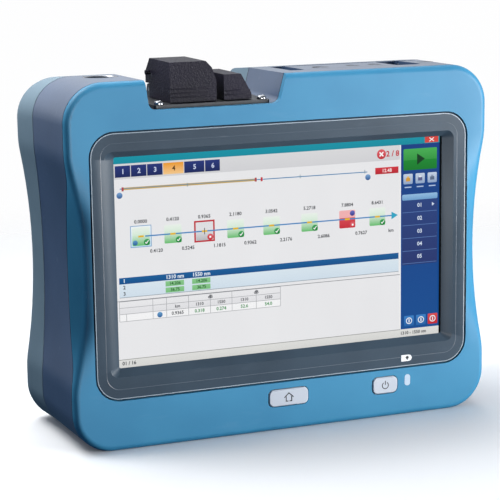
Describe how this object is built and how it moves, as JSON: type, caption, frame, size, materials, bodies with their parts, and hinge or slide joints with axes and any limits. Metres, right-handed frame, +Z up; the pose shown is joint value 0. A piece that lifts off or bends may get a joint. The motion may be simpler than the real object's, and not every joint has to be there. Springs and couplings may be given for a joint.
{
  "type": "optical time domain reflectometer",
  "caption": "Handheld optical time domain reflectometer with a touch screen, fibre ports under hinged dust caps in a recess along its top, side grips and a fold-out stand.",
  "frame": {"origin": "middle of the footprint, on the surface that the tester stands on", "axes": "+X along the width towards the power button, +Y from the face to the back, +Z up"},
  "size_m": [0.2, 0.0685, 0.1612],
  "materials": {
    "blue_cover": "satin metallic blue paint on a moulded cover",
    "slate_housing": "fine matte moulded plastic",
    "rear_rubber": "soft-touch overmoulded shell",
    "screen_frame": "satin grey frame",
    "seal": "dark rubber seal",
    "glass": "clear touch glass",
    "display": "lit display",
    "chassis": "plain sheet",
    "board": "green circuit board",
    "module": "bead-blasted can",
    "key": "off-white keycap",
    "keypad": "silicone keypad",
    "light": "frosted light pipe",
    "cap_rubber": "textured black rubber",
    "steel": "plain steel",
    "plate_black": "black painted plate",
    "port_green": "moulded adapter",
    "port_metal": "nickel plated",
    "socket_metal": "formed steel socket",
    "socket_black": "moulded socket",
    "battery": "battery pack",
    "stand": "moulded stand"
  },
  "bodies": {
    "case": {"front_cover": "blue_cover", "front_seal": "seal", "rear_seal": "seal", "screen_frame": "screen_frame", "touch_glass": "glass", "display_panel": "display", "chassis_plate": "chassis", "middle_housing": "slate_housing", "stand_pin_left": "steel", "stand_pin_right": "steel", "rear_shell": "rear_rubber", "battery_pack": "battery", "battery_door": "rear_rubber", "battery_screw_1": "steel", "battery_screw_2": "steel", "case_screw_1": "steel", "case_screw_2": "steel", "case_screw_3": "steel", "case_screw_4": "steel", "keypad": "keypad", "key_board": "board", "status_light": "light", "cap_pin_big": "steel", "cap_pin_small": "steel", "port_screw_1": "steel", "port_screw_2": "steel", "port_plate": "plate_black", "fibre_port": "port_green", "source_port": "port_metal", "meter_port": "port_metal", "meter_detector": "module", "interface_door_pin": "steel", "power_door_pin": "steel", "network_socket": "socket_metal", "usb_socket_left": "socket_metal", "usb_socket_right": "socket_metal", "power_socket": "socket_black", "main_board": "board", "optics_module": "module"},
    "home_key": {"home_button": "key"},
    "power_key": {"power_button": "key"},
    "big_cap": {"dust_cap_big": "cap_rubber"},
    "small_cap": {"dust_cap_small": "cap_rubber"},
    "left_door": {"interface_door": "slate_housing"},
    "right_door": {"power_door": "slate_housing"},
    "support": {"stand": "stand"}
  },
  "joints": [
    {"name": "home_press", "type": "slide", "parent": "case", "child": "home_key", "axis": [0, 1, 0], "range_m": [0, 0.0006], "stiffness_N_per_m": 1000, "springref_m": -0.0003},
    {"name": "power_press", "type": "slide", "parent": "case", "child": "power_key", "axis": [0, 1, 0], "range_m": [0, 0.0006], "stiffness_N_per_m": 1000, "springref_m": -0.0003},
    {"name": "big_cap_hinge", "type": "hinge", "parent": "case", "child": "big_cap", "pos_m": [-0.0384, 0.0029, 0.1477], "axis": [-1, 0, 0], "range_deg": [0, 92]},
    {"name": "small_cap_hinge", "type": "hinge", "parent": "case", "child": "small_cap", "pos_m": [-0.0186, 0.0029, 0.1477], "axis": [-1, 0, 0], "range_deg": [0, 92]},
    {"name": "left_door_hinge", "type": "hinge", "parent": "case", "child": "left_door", "pos_m": [0.0375, 0.0047, 0.1525], "axis": [-1, 0, 0], "range_deg": [0, 95]},
    {"name": "right_door_hinge", "type": "hinge", "parent": "case", "child": "right_door", "pos_m": [0.0787, 0.0047, 0.1525], "axis": [-1, 0, 0], "range_deg": [0, 95]},
    {"name": "stand_hinge", "type": "hinge", "parent": "case", "child": "support", "pos_m": [0, 0.0313, 0.101], "axis": [1, 0, 0], "range_deg": [0, 60]}
  ]
}
